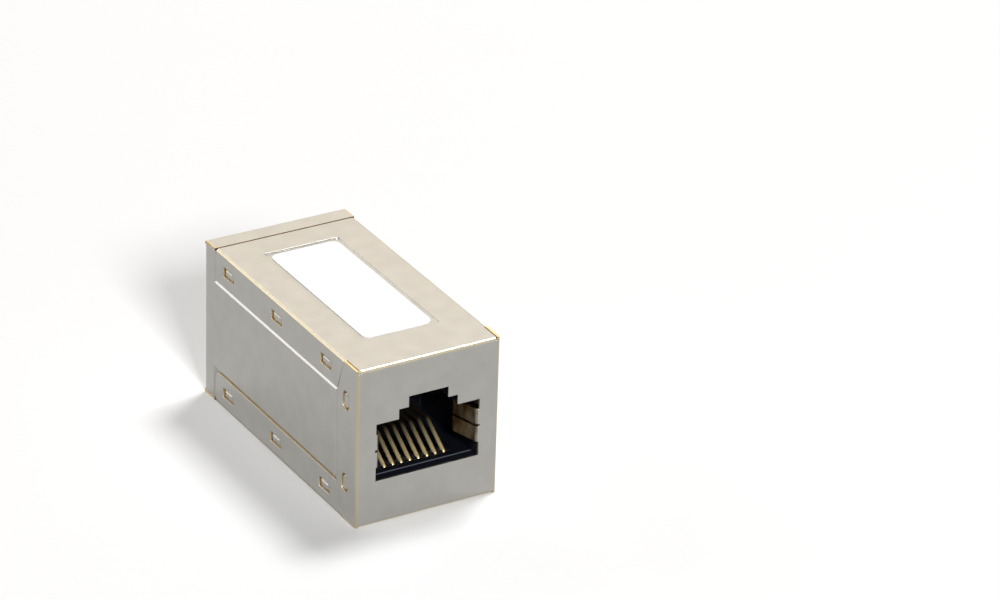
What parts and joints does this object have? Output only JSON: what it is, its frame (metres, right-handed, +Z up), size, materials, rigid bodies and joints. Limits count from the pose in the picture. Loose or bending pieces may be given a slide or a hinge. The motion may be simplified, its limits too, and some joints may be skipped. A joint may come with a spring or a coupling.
{
  "type": "shielded inline coupler",
  "caption": "Shielded box-shaped inline coupler that joins two modular network plugs end to end, with a socket in each end and a folded metal shell.",
  "frame": {"origin": "middle of the underside", "axes": "+Y from the front socket to the rear socket, +X across, +Z up to the labelled panel"},
  "size_m": [0.017, 0.034, 0.0185],
  "materials": {
    "plated_sheet": "satin nickel plating",
    "label_film": "matt white film",
    "black_moulding": "moulded, glossy",
    "black_insert": "moulded",
    "contact_wire": "gold plating",
    "board": "solder mask"
  },
  "bodies": {
    "root": {"front_shell": "plated_sheet", "rear_shell": "plated_sheet", "label": "label_film", "front_housing": "black_moulding", "rear_housing": "black_moulding", "front_insert": "black_insert", "rear_insert": "black_insert", "circuit_board": "board", "front_contact_1": "contact_wire", "front_contact_2": "contact_wire", "front_contact_3": "contact_wire", "front_contact_4": "contact_wire", "front_contact_5": "contact_wire", "front_contact_6": "contact_wire", "front_contact_7": "contact_wire", "front_contact_8": "contact_wire", "rear_contact_1": "contact_wire", "rear_contact_2": "contact_wire", "rear_contact_3": "contact_wire", "rear_contact_4": "contact_wire", "rear_contact_5": "contact_wire", "rear_contact_6": "contact_wire", "rear_contact_7": "contact_wire", "rear_contact_8": "contact_wire"}
  },
  "joints": []
}
